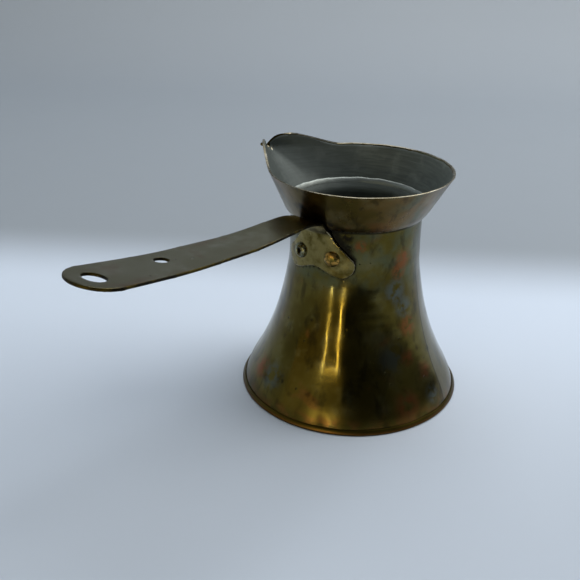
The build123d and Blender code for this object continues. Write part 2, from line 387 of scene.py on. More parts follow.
# Near black: for soot, pits and seams, and also for painted shade.
SOOT_AND_SHADE = shade(0.012, 0.010, 0.006)

# Marks on the bell and the collar: (place, radius) in millimetres
COPPER_MARKS = [
    ((22.4, 17.4, 77.5), 2.4),
    ((5.7, 27.9, 70.0), 4.0),
    ((7.8, 27.4, 65.0), 3.6),
    ((5.3, 32.5, 39.8), 4.4),
    ((9.6, 36.2, 27.0), 3.4),
    ((1.7, 40.9, 18.3), 3.0),
    ((17.4, 42.2, 9.3), 6.0),
    ((36.8, -22.7, 13.8), 5.0),
    ((-29.0, 12.0, 47.0), 7.0),
    ((-30.0, -27.0, 14.0), 8.0),
    ((8.0, -44.0, 8.0), 6.0),
]
GREY_MARKS = [
    ((2.5, 45.7, 9.3), 4.0),
    ((6.4, 30.6, 48.5), 4.5),
    ((17.0, 32.5, 28.3), 6.0),
    ((41.0, -13.6, 14.1), 6.0),
    ((10.0, 27.5, 56.0), 5.0),
    ((-12.0, -29.0, 40.0), 8.0),
    ((-38.0, 10.0, 20.0), 7.0),
]
# The first three marks are painted shade of the handle beside the fishtail; the last three are small soot
# spots.
SOOT_AND_SHADE_MARKS = [
    ((25.6, 12.6, 81.5), 3.2),
    ((25.3, 13.6, 76.5), 2.0),
    ((24.4, 15.4, 71.5), 1.4),
    ((-5.1, 37.4, 25.6), 1.3),
    ((32.2, 1.1, 42.8), 0.7),
    ((42.5, -6.7, 14.3), 0.9),
]
# Painted shade on the collar beside the handle.
COLLAR_SHADE_BY_HANDLE = [
    ((30.5, 7.5, 86.5), 3.6),
    ((29.0, 11.0, 84.5), 2.6),
    ((34.5, -4.0, 92.0), 2.8),
    ((32.5, 3.0, 89.5), 3.0),
]
SEAM_SIDE = -5.4 * MM


def patinated(finish, dark, middle, pale):
    """Layers of old patina on brass, with stains, pits and rubbed places."""
    colour = finish.mix(finish.between(finish.cloud(22 * MM, 3), 0.35, 0.65), dark, middle)
    colour = finish.mix(finish.between(finish.cloud(11 * MM, 5, 0.6), 0.50, 0.80), colour, pale)
    stains = finish.between(finish.cloud(13 * MM, 3, 0.5, twist=0.4), 0.60, 0.72)
    colour = finish.mix(finish.times(stains, 0.5), colour, RUST)
    pitted = finish.between(finish.cloud(12 * MM), 0.5, 0.6)
    pits = finish.times(finish.pits(4.5 * MM, 0.13), pitted)
    return finish.mix(pits, colour, SOOT_AND_SHADE), pits


def marked(finish, colour, marks, patch_colour, strength):
    """Colour with patches at the given marks: stains in most lists, painted shade in the shade lists."""
    for centre, radius in marks:
        patch = finish.spot(Vector(centre) * MM, radius * MM)
        colour = finish.mix(finish.times(patch, strength), colour, patch_colour)
    return colour


def bell_brass():
    """Polished dark patina of the bell, with stains, soot and a dark seam down one side, a painted
    reflection beside the seam, and painted shade round the fishtail and under the collar.
    """
    finish = Finish("bell_brass")
    colour, pits = patinated(finish, OLIVE_DARK, OLIVE, OLIVE_PALE)
    height = finish.axis("Z")
    neck = finish.between(height, 52 * MM, 64 * MM)
    cool = finish.times(neck, finish.between(finish.cloud(9 * MM, 3), 0.35, 0.65))
    colour = finish.mix(finish.times(cool, 0.7), colour, GREY_GREEN)
    smears = finish.between(finish.cloud(7 * MM, 6, 0.65, stretch=(1, 1, 2.2), twist=0.3), 0.50, 0.66)
    colour = finish.mix(finish.times(smears, 0.55), colour, SOOT_AND_SHADE)
    colour = marked(finish, colour, GREY_MARKS, GREY_BLUE, 0.75)
    colour = marked(finish, colour, COPPER_MARKS, COPPER, 0.95)
    across = finish.axis("X")
    seam_face = finish.between(finish.axis("Y"), 20 * MM, 21 * MM)
    # A lighter band beside the seam: painted reflection.
    seam_side_reflection = finish.between(across, SEAM_SIDE + 0.2 * MM, SEAM_SIDE - 0.2 * MM)
    seam_side_reflection = finish.times(seam_side_reflection, finish.between(across, -16 * MM, -8 * MM))
    seam_side_reflection = finish.times(seam_side_reflection, seam_face)
    seam_side_reflection = finish.times(seam_side_reflection, finish.between(height, 64 * MM, 58 * MM))
    colour = finish.mix(finish.times(seam_side_reflection, 0.8), colour, TAN)
    on_seam = finish.node("ShaderNodeMath", operation="COMPARE")
    finish.join(across, on_seam.inputs[0])
    on_seam.inputs[1].default_value = SEAM_SIDE
    on_seam.inputs[2].default_value = 0.22 * MM
    seam = finish.times(on_seam.outputs["Value"], seam_face)
    seam = finish.times(seam, finish.between(height, 63 * MM, 60 * MM))
    seam = finish.times(seam, finish.between(finish.cloud(4 * MM, 3), 0.3, 0.5))
    colour = finish.mix(seam, colour, SOOT_AND_SHADE)
    # Painted shade beside the fishtail, and small soot spots.
    colour = marked(finish, colour, SOOT_AND_SHADE_MARKS, SOOT_AND_SHADE, 1.0)
    # Painted shade along the fishtail's edge, from the vertex layer made with the bell wall.
    dirt_and_shade = finish.node("ShaderNodeAttribute", attribute_name="dirt_and_shade")
    crumbs = finish.spread(finish.cloud(1.2 * MM, 4), 0.6, 1.5)
    ragged_tail_shade = finish.times(dirt_and_shade.outputs["Fac"], crumbs)
    colour = finish.mix(ragged_tail_shade, colour, SOOT_AND_SHADE)
    # Painted shade on the bell under the collar's lapped lower edge.
    shade_under_collar = finish.between(height, 82.4 * MM, 83.2 * MM)
    colour = finish.mix(finish.times(shade_under_collar, 0.9), colour, SOOT_AND_SHADE)
    foot = finish.between(height, 8 * MM, 3 * MM)
    foot = finish.times(foot, finish.between(finish.cloud(6 * MM), 0.4, 0.6))
    colour = finish.mix(finish.times(foot, 0.6), colour, RUST)
    dull = finish.between(finish.cloud(20 * MM, 3), 0.3, 0.7)
    dull = finish.plus(dull, finish.between(height, 14 * MM, 6 * MM))
    roughness = finish.spread(dull, 0.075, 0.24)
    scratches = finish.cloud(0.8 * MM, 2, 0.6, stretch=(6, 6, 0.6))
    waves = finish.cloud(4 * MM, 3)
    finish.relief((scratches, 0.003 * MM), (waves, 0.006 * MM), (pits, -0.1 * MM))
    return finish.set(colour, roughness, 1.0)


def pan_brass():
    """Browner brass of the base pan, coppery low down, and darkened at its lowest edge as painted shade
    where it meets the floor.
    """
    finish = Finish("pan_brass")
    low = finish.between(finish.axis("Z"), 1.9 * MM, 1.0 * MM)
    ragged = finish.times(low, finish.spread(finish.cloud(7 * MM, 4), 0.3, 1.0))
    colour = finish.mix(finish.times(ragged, 0.6), OLIVE_DARK, COPPER)
    # Painted shade along the pan's lowest edge.
    colour = finish.mix(finish.between(finish.axis("Z"), 0.7 * MM, 0.2 * MM), colour, SOOT_AND_SHADE)
    finish.relief((finish.cloud(2 * MM, 4), 0.04 * MM))
    return finish.set(colour, finish.spread(finish.cloud(6 * MM), 0.25, 0.5), 1.0)


def collar_brass():
    """Duller olive patina of the collar, with painted shade beside the handle."""
    finish = Finish("collar_brass")
    colour, pits = patinated(finish, OLIVE_DARK, HONEY, OLIVE_PALE)
    cool = finish.between(finish.cloud(10 * MM, 3), 0.45, 0.65)
    cool = finish.times(cool, finish.between(finish.axis("X"), 26 * MM, 12 * MM))
    colour = finish.mix(finish.times(cool, 0.7), colour, GREY_GREEN)
    smears = finish.between(finish.cloud(6 * MM, 6, 0.65, stretch=(0.7, 0.7, 1.6)), 0.50, 0.66)
    colour = finish.mix(finish.times(smears, 0.5), colour, SOOT_AND_SHADE)
    # Painted shade beside the handle.
    colour = marked(finish, colour, COLLAR_SHADE_BY_HANDLE, SOOT_AND_SHADE, 0.9)
    scratches = finish.cloud(1.0 * MM, 3, stretch=(5, 5, 0.7))
    finish.relief((scratches, 0.008 * MM), (pits, -0.1 * MM))
    return finish.set(colour, finish.spread(finish.cloud(10 * MM, 4), 0.20, 0.40), 1.0)


def rubbed_brass():
    """Brass that cloths and hands keep bright along an edge; the brightness is partly real wear and
    partly a painted highlight.
    """
    finish = Finish("rubbed_brass")
    worn = finish.between(finish.cloud(5 * MM, 4), 0.3, 0.7)
    colour = finish.mix(worn, RUBBED_DARK, RUBBED_PALE)
    finish.relief((finish.cloud(1 * MM, 3), 0.02 * MM))
    return finish.set(colour, finish.spread(finish.cloud(3 * MM), 0.2, 0.35), 1.0)


def grimy_edge():
    """Sheet edge, dark partly from old dirt and partly as painted shade."""
    finish = Finish("grimy_edge")
    colour = finish.mix(finish.between(finish.cloud(4 * MM, 4), 0.4, 0.65), SOOT_AND_SHADE, OLIVE_DARK)
    finish.relief((finish.cloud(1 * MM, 3), 0.04 * MM))
    return finish.set(colour, finish.spread(finish.cloud(3 * MM), 0.4, 0.6), 1.0)


def strap_brass():
    """Grey-brown handle, stained on its outer half, with a painted golden reflection by the bend, and
    olive on the tail.
    """
    finish = Finish("strap_brass")
    colour, pits = patinated(finish, STRAP_BROWN, STRAP_GREY, STRAP_PALE)
    stained = finish.between(finish.cloud(14 * MM, 3, stretch=(1.6, 1, 1)), 0.5, 0.66)
    stained = finish.times(stained, finish.between(finish.axis("X"), 60 * MM, 80 * MM))
    colour = finish.mix(finish.times(stained, 0.5), colour, RUST)
    # Painted golden reflection on the handle by the bend.
    near_bend = finish.plus(finish.axis("X"), finish.times(finish.axis("Y"), 0.5))
    gold_reflection = finish.between(near_bend, 45 * MM, 41 * MM)
    colour = finish.mix(finish.times(gold_reflection, 0.8), colour, STRAP_GOLD_REFLECTION)
    tail = finish.between(finish.axis("Z"), 88 * MM, 83 * MM)
    blotches = finish.between(finish.cloud(5 * MM, 4), 0.30, 0.60)
    tail_colour = finish.mix(blotches, OLIVE_DARK, TAIL_BROWN)
    colour = finish.mix(tail, colour, tail_colour)
    scratches = finish.cloud(1.2 * MM, 3, stretch=(5, 1, 1))
    finish.relief((scratches, 0.008 * MM), (pits, -0.1 * MM))
    return finish.set(colour, finish.spread(finish.cloud(9 * MM, 4), 0.15, 0.3), 1.0)


def rivet_brass(name, crown, dirt_and_shade):
    """Rivet metal: the crown colour mottled with a darker colour in small random patches."""
    finish = Finish(name)
    colour = finish.mix(finish.between(finish.cloud(1.6 * MM, 3), 0.42, 0.6), dirt_and_shade, crown)
    finish.relief((finish.cloud(1.1 * MM, 3), 0.06 * MM))
    return finish.set(colour, finish.spread(finish.cloud(2 * MM), 0.2, 0.4), 1.0)


def wiped_tin():
    """Old tin, dulled grey-green, with the curved streaks of the wiping cloth, painted shade on the lip
    side and painted shade deep in the pot.
    """
    finish = Finish("wiped_tin")
    streaks = finish.cloud(1.5 * MM, 4, 0.6, stretch=(7, 7, 0.5), twist=0.3)
    colour = finish.mix(finish.between(streaks, 0.3, 0.75), TIN_DARK, TIN_GREY)
    wiped = finish.between(finish.cloud(9 * MM, 5), 0.5, 0.8)
    colour = finish.mix(finish.times(wiped, 0.6), colour, TIN_PALE)
    # Painted shade on the lip side.
    lip_side_shade = finish.between(finish.axis("Y"), -12 * MM, -32 * MM)
    colour = finish.mix(finish.times(lip_side_shade, 0.6), colour, TIN_SHADOW)
    # Painted shade deeper down inside the pot.
    depth = finish.between(finish.axis("Z"), 83 * MM, 75 * MM)
    colour = finish.mix(finish.times(depth, 0.93), colour, SOOT_AND_SHADE)
    finish.relief((streaks, 0.012 * MM), (finish.cloud(3 * MM, 3), 0.03 * MM))
    return finish.set(colour, finish.spread(streaks, 0.50, 0.66), 0.3)


def soft_solder():
    """Lumpy grey solder."""
    finish = Finish("soft_solder")
    colour = finish.mix(finish.cloud(2 * MM, 4), TIN_PALE, SOLDER_PALE)
    finish.relief((finish.cloud(1.5 * MM, 3), 0.1 * MM))
    return finish.set(colour, finish.spread(finish.cloud(1 * MM), 0.35, 0.55), 0.85)


# The pot's pieces


def make_bell_wall():
    """Waisted wall of the pot: its outside going up, then its inside coming down."""
    skin = packed_skin("body_shell")
    low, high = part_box("body_shell")
    heights = steps(low.z + 0.01 * MM, high.z - 0.05 * MM, 84)
    outline = [(outside_reach(skin, PLAIN_SIDE, height), height) for height in heights]
    coarse = steps(high.z - 0.05 * MM, low.z + 0.01 * MM, 16)
    outline += [(inside_reach(skin, PLAIN_SIDE, height), height) for height in coarse]
    bm = turned(outline + outline[:1], 480)
    beat_bell(bm.verts)
    # Painted shade round the fishtail, kept in a vertex layer for the bell's colour.
    dirt_and_shade = bm.verts.layers.float.new("dirt_and_shade")
    tail_edge = smooth_run([(height, width) for width, height in FISHTAIL], 5)
    for vert in bm.verts:
        vert[dirt_and_shade] = shade_beside_tail(vert.co, tail_edge)
    return finished("bell_wall", bm, [bell_brass()], ["body_shell"])


def shade_beside_tail(place, tail_edge):
    """Painted shade in the corner round the fishtail: 1 against its edge, 0 away from it."""
    across = math.atan2(place.y, place.x) * NECK_RADIUS
    if abs(across) > 24 * MM or not 60 * MM < place.z < 84 * MM:
        return 0.0
    here = Vector((place.z, abs(across))) / MM
    gap = min((here - spot.xy).length for spot in tail_edge)
    broad = 1.0
    # On the side away from the lip, the painted shade widens into the handle's shade.
    if across > 0:  # more of it on the side away from the lip, up to the collar
        broad += 3.2 * eased(place.z, 69 * MM, 80 * MM)
    return 1 - eased(gap, 0.35 * broad, 1.1 * broad)


def make_base_pan():
    """Bottom disc with a low flange lapped round the foot of the wall."""
    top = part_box("base_pan")[1]
    edge, floor = top.x, 0.8 * MM
    tuck = outside_reach(packed_skin("body_shell"), 2, 2.3 * MM)
    outline = [
        (0, 0),
        (edge - 6 * MM, 0),
        (edge - 0.75 * MM, 0),
        (edge - 0.3 * MM, 0.12 * MM),
        (edge - 0.05 * MM, 0.45 * MM),
        (edge - 0.08 * MM, 0.9 * MM),
        (edge - 0.5 * MM, 1.6 * MM),
        (edge - 0.85 * MM, 2.15 * MM),
        (tuck + 0.35 * MM, top.z),
        (tuck + 0.1 * MM, top.z - 0.05 * MM),
        (tuck - 0.05 * MM, 2.0 * MM),
        (tuck + 0.2 * MM, floor),
        (edge - 6 * MM, floor),
        (0, floor),
    ]
    bm = turned(outline, 360)
    for vert in bm.verts:
        if vert.co.z > 1.4 * MM:
            vert.co.z += 0.22 * MM * unevenness(vert.co, 9 * MM, 1.5)
    rounding = [vert for vert in bm.verts if vert.co.xy.length > edge - 2 * MM]
    beat(rounding, 0.10 * MM, 11 * MM, 4.5)
    return finished("pan", bm, [pan_brass()], ["base_pan"])


def from_lip(angle):
    """How far a direction is turned from the lip's middle line, either way."""
    return abs((angle - LIP_ANGLE + math.pi) % (2 * math.pi) - math.pi)


def collar_measure(skin, angle):
    """Rim height, and outside and inside reach by height, of the collar in one direction."""
    near_tip = from_lip(angle) < math.radians(1.4)
    solid_top, last_stretch = 101.6 * MM, 3 * MM
    low, high = 99 * MM, 109 * MM
    while high - low > 0.02 * MM:
        middle = (low + high) / 2
        if outside_reach(skin, angle, middle):
            low = middle
        else:
            high = middle
    rim = LIP_TIP_HEIGHT if near_tip else low
    highest = solid_top if near_tip else rim - 0.03 * MM

    def straight(measure, turned_angle, height):
        """Reach at a height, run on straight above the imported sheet."""
        if height <= highest:
            return measure(skin, turned_angle, height)
        below = measure(skin, turned_angle, highest - last_stretch)
        top = measure(skin, turned_angle, highest)
        return top + (top - below) * (height - highest) / last_stretch

    def reach(measure, height):
        """Reach with the fold below the lip's tip rounded, softly low down and tighter at the rim."""
        height = max(height, 83.83 * MM)
        window = math.radians(12.0 - 10.8 * eased(height, 88 * MM, 104 * MM))
        if from_lip(angle) > 2 * window + 0.02:
            return straight(measure, angle, height)
        capped = min(height, solid_top)
        beside = [angle + window * share for share in (-1, -0.5, 0, 0.5, 1)]
        evened = sum(straight(measure, place, capped) for place in beside) / len(beside)
        plain = straight(measure, angle, capped)
        here = straight(measure, angle, height)
        return here + (evened - plain) * (1 - eased(from_lip(angle), window, 2 * window + 0.02))

    def outside(height):
        return reach(outside_reach, height)

    def inside(height):
        return reach(inside_reach, height)

    return rim, outside, inside


def make_collar():
    """Funnel drawn out into the lip, with a rounded rim, a lapped foot and a bead at the lip's tip."""
    skin = packed_skin("collar")
    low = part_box("collar")[0]
    rounding = 0.35 * MM

    def column(angle):
        side = outward(angle)
        rim, outside, inside = collar_measure(skin, angle)
        foot = low.z + 0.22 * MM * noise.noise(side * 3.1 + Vector((7, 7, 7)))
        rim += 0.12 * MM * noise.noise(side * 6.0 + Vector((2, 2, 2)))
        outer = steps(foot + rounding, COLLAR_LAP_TOP, 4)
        outer += steps(COLLAR_LAP_TOP, rim - rounding, 22)[1:]
        inner = steps(rim - rounding, foot + rounding, 24)
        places = [outside(height) * side + height * UP for height in outer]
        places += rounded_edge(side, inside(rim), outside(rim), rim - rounding, rounding)
        places += [inside(height) * side + height * UP for height in inner]
        places += rounded_edge(side, outside(foot), inside(foot), foot + rounding, -rounding)
        return places + places[:1]

    bm = raised(432, column)
    # The rim's upper faces and the collar's lower edge get the bright edge finish: partly wear, partly a
    # painted highlight.
    for face in bm.faces:
        if abs(face.normal.z) > 0.6 or face.calc_center_median().z < low.z + 0.4 * MM:
            face.material_index = 1
    beat_collar(bm.verts)
    bead_radius = 1.0 * MM
    bead = Matrix.Translation((0, low.y + bead_radius, LIP_TIP_HEIGHT))
    bead = bead @ Matrix.Diagonal((1.1, 1.0, 0.85, 1))
    bmesh.ops.create_uvsphere(bm, u_segments=24, v_segments=14, radius=bead_radius, matrix=bead)
    finishes = [collar_brass(), rubbed_brass()]
    return finished("funnel_collar", bm, finishes, ["collar"])


def rounded_edge(side, start, end, height, rise):
    """Half-round edge of a sheet between two reaches, as places between its two faces."""
    middle, half = (start + end) / 2, (end - start) / 2
    places = []
    for degrees in (30, 60, 90, 120, 150):
        turn = math.radians(degrees)
        places.append((middle + half * math.cos(turn)) * side + (height + rise * math.sin(turn)) * UP)
    return places


def make_collar_tin():
    """Thin tin skin on the inside of the collar, ending a little short of the rim."""
    skin = packed_skin("collar")
    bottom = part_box("tin_lining_collar")[0].z

    def column(angle):
        side = outward(angle)
        rim, _, inside = collar_measure(skin, angle)
        waver = 0.25 * MM * noise.noise(side * 9.0)
        top = rim - 0.75 * MM + waver
        heights = steps(bottom, top, 22)
        places = [(inside(height) + 0.05 * MM) * side + height * UP for height in heights]
        for height in reversed(heights):
            places.append((inside(height) - TIN_SHEET) * side + (height - 0.1 * MM) * UP)
        return places + places[:1]

    bm = raised(432, column)
    beat_collar(bm.verts)
    return finished("collar_tin", bm, [wiped_tin()], ["tin_lining_collar"])


def make_bowl_tin():
    """Thin tin skin on the inside of the bell."""
    skin = packed_skin("tin_lining_bowl")
    low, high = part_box("tin_lining_bowl")
    heights = steps(high.z - 0.1 * MM, low.z + 0.05 * MM, 60)
    outline = [(inside_reach(skin, PLAIN_SIDE, height), height) for height in heights]
    coarse = steps(low.z + 0.05 * MM, high.z - 0.1 * MM, 16)
    outline += [(outside_reach(skin, PLAIN_SIDE, height), height) for height in coarse]
    bm = turned(outline + outline[:1], 300)
    beat_bell(bm.verts)
    return finished("bowl_tin", bm, [bpy.data.materials["wiped_tin"]], ["tin_lining_bowl"])


def make_neck_solder():
    """Lumpy ring of solder in the corner between bell and collar."""
    low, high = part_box("neck_solder")
    radius = high.x - 0.95 * MM
    middle = (low.z + high.z) / 2 + 0.5 * MM
    outline = []
    for turn in steps(0, 2 * math.pi, 16):
        along, across = 1.7 * MM * math.cos(turn), 0.55 * MM * math.sin(turn)
        # The bead's oval leans inwards, as it lies in the corner.
        outline.append((radius + 0.42 * along - 0.9 * across, middle + 0.9 * along + 0.42 * across))
    bm = turned(outline, 300)
    for vert in bm.verts:
        lump = unevenness(vert.co, 5 * MM, 6.0)
        vert.co.z += 0.3 * MM * lump
        vert.co.xy *= 1 + 0.004 * lump
    return finished("neck_solder_bead", bm, [soft_solder()], ["neck_solder"])


def rivet_outline(inner_end, sheet_inside, sheet_outside, head):
    """Outline of a rivet along its own axis: inner head, shank, then the outer head's points."""
    outline = [(0, inner_end), (1.2 * MM, inner_end + 0.1 * MM), (2.3 * MM, inner_end + 0.35 * MM)]
    outline += [(3.0 * MM, inner_end + 0.75 * MM), (2.9 * MM, sheet_inside + 0.2 * MM)]
    outline += [(1.9 * MM, sheet_inside + 0.3 * MM), (1.9 * MM, sheet_outside - 0.5 * MM)]
    return outline + [(radius * MM, sheet_outside + rise * MM) for radius, rise in head]


def make_rivet(name, node, head, lump, finish):
    """Rivet turned on its own axis, hammered, and set through the neck."""
    low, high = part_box(node)
    centre = (low + high) / 2
    angle = math.atan2(centre.y, centre.x)
    # Both rivets are set equally deep, so the domed one's crown gives the reach of either.
    outer_end = outside_reach(packed_skin("rivet_domed"), math.radians(15), centre.z)
    sheet_outside = outer_end - RIVET_HEAD_RISE
    sheet_inside = sheet_outside - RIVET_THROUGH
    outline = rivet_outline(outer_end - RIVET_LENGTH, sheet_inside, sheet_outside, head)
    bm = turned(outline, 48)
    for vert in bm.verts:
        if vert.co.z > sheet_outside + 0.2 * MM:
            vert.co += lump * MM * noise.noise_vector(vert.co / (1.6 * MM))
    lying = Matrix.Rotation(math.pi / 2, 4, "Y")
    place = Matrix.Rotation(angle, 4, "Z") @ Matrix.Translation((0, 0, centre.z)) @ lying
    bmesh.ops.transform(bm, matrix=place, verts=bm.verts)
    return finished(name, bm, [finish], [node])


# Rivet heads: (radius, height above the sheet) in millimetres
DOMED_HEAD = [(3.3, -0.4), (3.35, 0.2), (3.25, 0.5), (2.9, 0.95)]
DOMED_HEAD += [(2.3, 1.4), (1.6, 1.72), (0.8, 1.87), (0, 1.9)]
EYELET_HEAD = [(3.3, -0.4), (3.35, 0.2), (3.2, 0.65), (2.8, 1.15), (2.3, 1.5), (1.8, 1.6)]
EYELET_HEAD += [(1.45, 1.45), (1.2, 1.1), (1.12, 0.6), (1.1, -0.5), (0, -0.55)]


# The handle, cut flat and then bent


class HandleBend:
    """Bends a flat blank: its first coordinate runs along the handle, its second across, its third up."""

    def __init__(self):
        wall = packed_skin("body_shell")
        line = []
        for height in range(61, 79, 2):
            reach = outside_reach(wall, math.radians(-2), height * MM)
            line.append(Vector((reach, height * MM)))
        corners = [line[-1]] + [Vector(corner) * MM for corner in STRAP_CORNERS]
        for before, corner, after, bend in zip(corners, corners[1:], corners[2:], STRAP_BENDS):
            start, end = (before - corner).normalized(), (after - corner).normalized()
            reach = bend * MM * math.tan((math.pi - start.angle(end)) / 2)
            start, end = corner + reach * start, corner + reach * end
            hold = [start, start.lerp(corner, 2 / 3), end.lerp(corner, 2 / 3), end]
            curve = geometry.interpolate_bezier(*[place.to_3d() for place in hold], 14)
            line += [place.xy for place in curve]
        self.line = line + [corners[-1] + (corners[-1] - line[-1]).normalized() * 2 * MM]
        self.lengths = [0]
        for one, other in zip(self.line, self.line[1:]):
            self.lengths.append(self.lengths[-1] + (other - one).length)

    def find(self, axis, value):
        """Length along the line where its reach (axis 0) or height (axis 1) has a value."""
        for number in range(len(self.line) - 2, -1, -1):
            low, high = self.line[number][axis], self.line[number + 1][axis]
            if low <= value <= high and high > low:
                share = (value - low) / (high - low)
                return self.lengths[number] + share * (self.lengths[number + 1] - self.lengths[number])
        return 0.0

    def at(self, along):
        """Place on the line and direction along it."""
        number = 0
        while number < len(self.line) - 2 and self.lengths[number + 1] < along:
            number += 1
        one, other = self.line[number], self.line[number + 1]
        run = self.lengths[number + 1] - self.lengths[number]
        return one.lerp(other, (along - self.lengths[number]) / run), (other - one) / run

    def heading(self, along):
        """Direction along the line, evened out over a millimetre."""
        ahead, behind = self.at(along + 0.6 * MM)[0], self.at(max(along - 0.6 * MM, 0))[0]
        return (ahead - behind).normalized()

    def bent(self, flat):
        """Place of a point of the blank: curled round the neck on the tail, flat across on the strap."""
        place = self.at(flat.x)[0]
        heading = self.heading(flat.x)
        away = Vector((heading.y, -heading.x))
        curl = (1 - eased(place.y, 80 * MM, 89.6 * MM)) / NECK_RADIUS
        depth = -flat.z
        if curl > 1:
            turn = flat.y * curl * (1 - 0.5 * STRAP_SHEET * curl)
            sag = (1 / curl + depth) * (1 - math.cos(turn))
            side = (1 / curl + depth) * math.sin(turn)
        else:
            sag, side = 0, flat.y
        reach = place + away * (depth - sag)
        skew = STRAP_SKEW * eased(place.y, 74 * MM, 86 * MM)
        return Matrix.Rotation(skew, 3, "Z") @ Vector((reach.x, side, reach.y))


def smooth_run(points, count):
    """Points of a smooth curve through the given (along, side) points."""
    run = []
    for number in range(len(points) - 1):
        one, two = Vector(points[number]), Vector(points[number + 1])
        before = Vector(points[max(number - 1, 0)])
        after = Vector(points[min(number + 2, len(points) - 1)])
        hold = [one, one + (two - before) / 6, two - (after - one) / 6, two]
        run += geometry.interpolate_bezier(*[place.to_3d() for place in hold], count)[:-1]
    return run


def oval(along, side, long, wide):
    """Flat places round a hole with half lengths long and wide."""
    places = []
    for number in range(40):
        turn = 2 * math.pi * number / 40
        places.append((along + long * math.cos(turn), side + wide * math.sin(turn)))
    return places


def flat_loop(bm, places):
    """Closed loop of edges through flat places."""
    spots = [bm.verts.new((place[0], place[1], 0)) for place in places]
    return [bm.edges.new((one, other)) for one, other in zip(spots, spots[1:] + spots[:1])]


def make_handle():
    """Handle and fishtail: one blank, pierced, chamfered, cut into strips, thickened and bent."""
    bend = HandleBend()
    tail = [(bend.find(1, height * MM), width * MM) for width, height in FISHTAIL]
    mirrored = [(along, -side) for along, side in reversed(tail[1:])]
    tail_run = smooth_run(mirrored + tail, 6)
    root = tail[-1][0]
    shoulder = bend.find(0, STRAP_SHOULDER)
    widen = (STRAP_HALF_WIDTH_AT_TIP - STRAP_HALF_WIDTH_AT_AXIS) / STRAP_SHOULDER
    sides = []
    for along in steps(root, shoulder, 30):
        sides.append((along, STRAP_HALF_WIDTH_AT_AXIS + widen * bend.at(along)[0].x))
    turns = steps(0, math.pi, 40)[1:-1]
    end = []
    for turn in turns:
        end.append((shoulder + TIP_ROUNDING * math.sin(turn), STRAP_HALF_WIDTH_AT_TIP * math.cos(turn)))
    back = [(along, -side) for along, side in reversed(sides)]
    bm = bmesh.new()
    flat_loop(bm, [place.xy for place in tail_run] + sides + end + back)
    tip = shoulder + TIP_ROUNDING
    for along, side, long, wide in HANDLE_HOLES:
        flat_loop(bm, oval(tip - along, side, long, wide))
    bmesh.ops.triangle_fill(bm, use_beauty=True, edges=bm.edges[:])
    chamfer = 0.22 * MM
    bmesh.ops.inset_region(
        bm, faces=bm.faces[:], thickness=chamfer, use_even_offset=True, use_boundary=True
    )
    cuts = [(along, 0) for along in steps(2 * MM, root + 12 * MM, 44)]
    cuts += [(along, 0) for along in steps(root + 13 * MM, tip, 70)]
    cuts += [(side * MM, 1) for side in range(-17, 18)]
    for place, axis in cuts:
        spot, direction = Vector((0, 0, 0)), Vector((0, 0, 0))
        spot[axis], direction[axis] = place, 1
        bmesh.ops.bisect_plane(
            bm,
            geom=bm.verts[:] + bm.edges[:] + bm.faces[:],
            dist=0.02 * MM,
            plane_co=spot,
            plane_no=direction,
        )
    for vert in bm.verts:
        if vert.is_boundary:
            vert.co.z = -chamfer
    rim = [edge for edge in bm.edges if edge.is_boundary]
    under = bmesh.ops.duplicate(bm, geom=bm.verts[:] + bm.edges[:] + bm.faces[:])["geom"]
    for vert in [item for item in under if isinstance(item, bmesh.types.BMVert)]:
        vert.co.z = -STRAP_SHEET - vert.co.z
    walls = bmesh.ops.extrude_edge_only(bm, edges=rim)["geom"]
    for vert in [item for item in walls if isinstance(item, bmesh.types.BMVert)]:
        vert.co.z = -STRAP_SHEET + chamfer
    bmesh.ops.remove_doubles(bm, verts=bm.verts, dist=0.002 * MM)
    # Sheet edges: the side walls and the strap's chamfers get the dark edge finish, partly dirt and
    # partly painted shade; the fishtail's chamfers get the bright edge finish, partly wear and partly a
    # painted highlight.
    for face in bm.faces:
        levels = [vert.co.z for vert in face.verts]
        if max(levels) < -chamfer / 2 and min(levels) > chamfer / 2 - STRAP_SHEET:
            face.material_index = 2
        elif max(levels) - min(levels) > chamfer / 2:
            face.material_index = 1 if face.calc_center_median().x < root else 2
    for vert in bm.verts:
        flat = vert.co.copy()
        on_tail = 1 - eased(flat.x, root - 6 * MM, root + 6 * MM)
        waver = 0.05 * noise.noise(Vector((flat.x, flat.y, 0)) / (14 * MM))
        waver += 0.16 * on_tail * noise.noise(Vector((flat.x, flat.y, 0.02)) / (3.2 * MM))
        vert.co = bend.bent(flat)
        heading = bend.heading(flat.x)
        vert.co += waver * MM * Vector((heading.y, 0, -heading.x))
    finishes = [strap_brass(), bpy.data.materials["rubbed_brass"], grimy_edge()]
    return finished("handle", bm, finishes, ["handle_strap"])


# The room

PAPER_WALL_FAR = shade(0.40, 0.44, 0.48)
PAPER_WALL = shade(0.34, 0.38, 0.42)
PAPER_BY_POT = shade(0.72, 0.81, 0.93)
PAPER_FRONT = shade(0.58, 0.65, 0.74)
AXIS_FOOT = (0, 0, 0)
AXIS_LOW = (0, 0, 30 * MM)


def room_direction(angle, height=0.0):
    """Direction in the room: angle 0 points at the camera's side, and it grows to the right."""
    return outward(CAMERA_SIDE + angle) + height * UP


